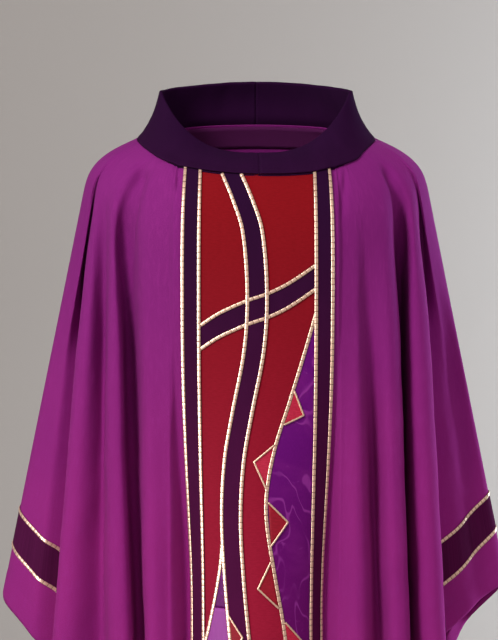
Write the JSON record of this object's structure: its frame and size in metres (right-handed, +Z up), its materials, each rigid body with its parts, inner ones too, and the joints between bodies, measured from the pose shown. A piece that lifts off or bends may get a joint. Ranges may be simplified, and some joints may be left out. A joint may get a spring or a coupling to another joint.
{
  "type": "chasuble",
  "caption": "Full-cut hanging vestment with a stand-away collar, an orphrey column with a curved cross, and banded sleeves.",
  "frame": {"origin": "middle of the neck opening, level with the sides of the neck seam", "axes": "+Z up, the front of the garment faces -Y, +X is to the right of someone who looks at the front"},
  "size_m": [0.6782, 0.4572, 1.2742],
  "materials": {
    "violet_wool": "matte twill-woven wool, soft sheen",
    "purple_velvet": "matte short-pile velvet",
    "canvas": "plain woven interfacing",
    "lining_tape": "plain woven tape",
    "red_cloth": "matte ribbed weave",
    "gold_braid": "flat metallic woven braid, satin",
    "gold_cord": "fine twisted metallic cord",
    "violet_brocade": "tone-on-tone figured brocade, silky",
    "violet_satin": "smooth satin",
    "rose_cloth": "lightly ribbed silk",
    "crimson_cloth": "lightly ribbed silk"
  },
  "bodies": {
    "root": {"front_panel": "violet_wool", "back_panel": "violet_wool", "shoulder_tape_left": "lining_tape", "shoulder_tape_right": "lining_tape", "neck_facing_front": "lining_tape", "neck_facing_back": "lining_tape", "hem_facing_front": "violet_wool", "hem_facing_back": "violet_wool", "collar_outer_left": "purple_velvet", "collar_outer_right": "purple_velvet", "collar_interfacing_left": "canvas", "collar_interfacing_right": "canvas", "collar_inner_left": "purple_velvet", "collar_inner_right": "purple_velvet", "orphrey_ground": "red_cloth", "side_band_left": "purple_velvet", "side_band_right": "purple_velvet", "side_braid_left_outer": "gold_braid", "side_braid_left_inner": "gold_braid", "side_braid_right_inner": "gold_braid", "side_braid_right_outer": "gold_braid", "crossbar_band": "purple_velvet", "crossbar_braid_upper": "gold_braid", "crossbar_braid_lower": "gold_braid", "upright_band": "purple_velvet", "upright_braid_left": "gold_braid", "upright_braid_right": "gold_braid", "brocade_panel": "violet_brocade", "brocade_braid": "gold_braid", "brocade_wedge": "violet_brocade", "satin_wedge": "violet_satin", "wedge_braid": "gold_braid", "thorn_1": "rose_cloth", "thorn_2": "rose_cloth", "thorn_3": "crimson_cloth", "thorn_4": "crimson_cloth", "thorn_5": "rose_cloth", "thorn_6": "crimson_cloth", "thorn_cords": "gold_cord", "sleeve_band_left": "purple_velvet", "sleeve_band_right": "purple_velvet", "sleeve_braid_left_upper": "gold_braid", "sleeve_braid_left_lower": "gold_braid", "sleeve_braid_right_upper": "gold_braid", "sleeve_braid_right_lower": "gold_braid", "back_orphrey_ground": "red_cloth", "back_band_left": "purple_velvet", "back_band_right": "purple_velvet", "back_braid_left_outer": "gold_braid", "back_braid_left_inner": "gold_braid", "back_braid_right_inner": "gold_braid", "back_braid_right_outer": "gold_braid"}
  },
  "joints": []
}
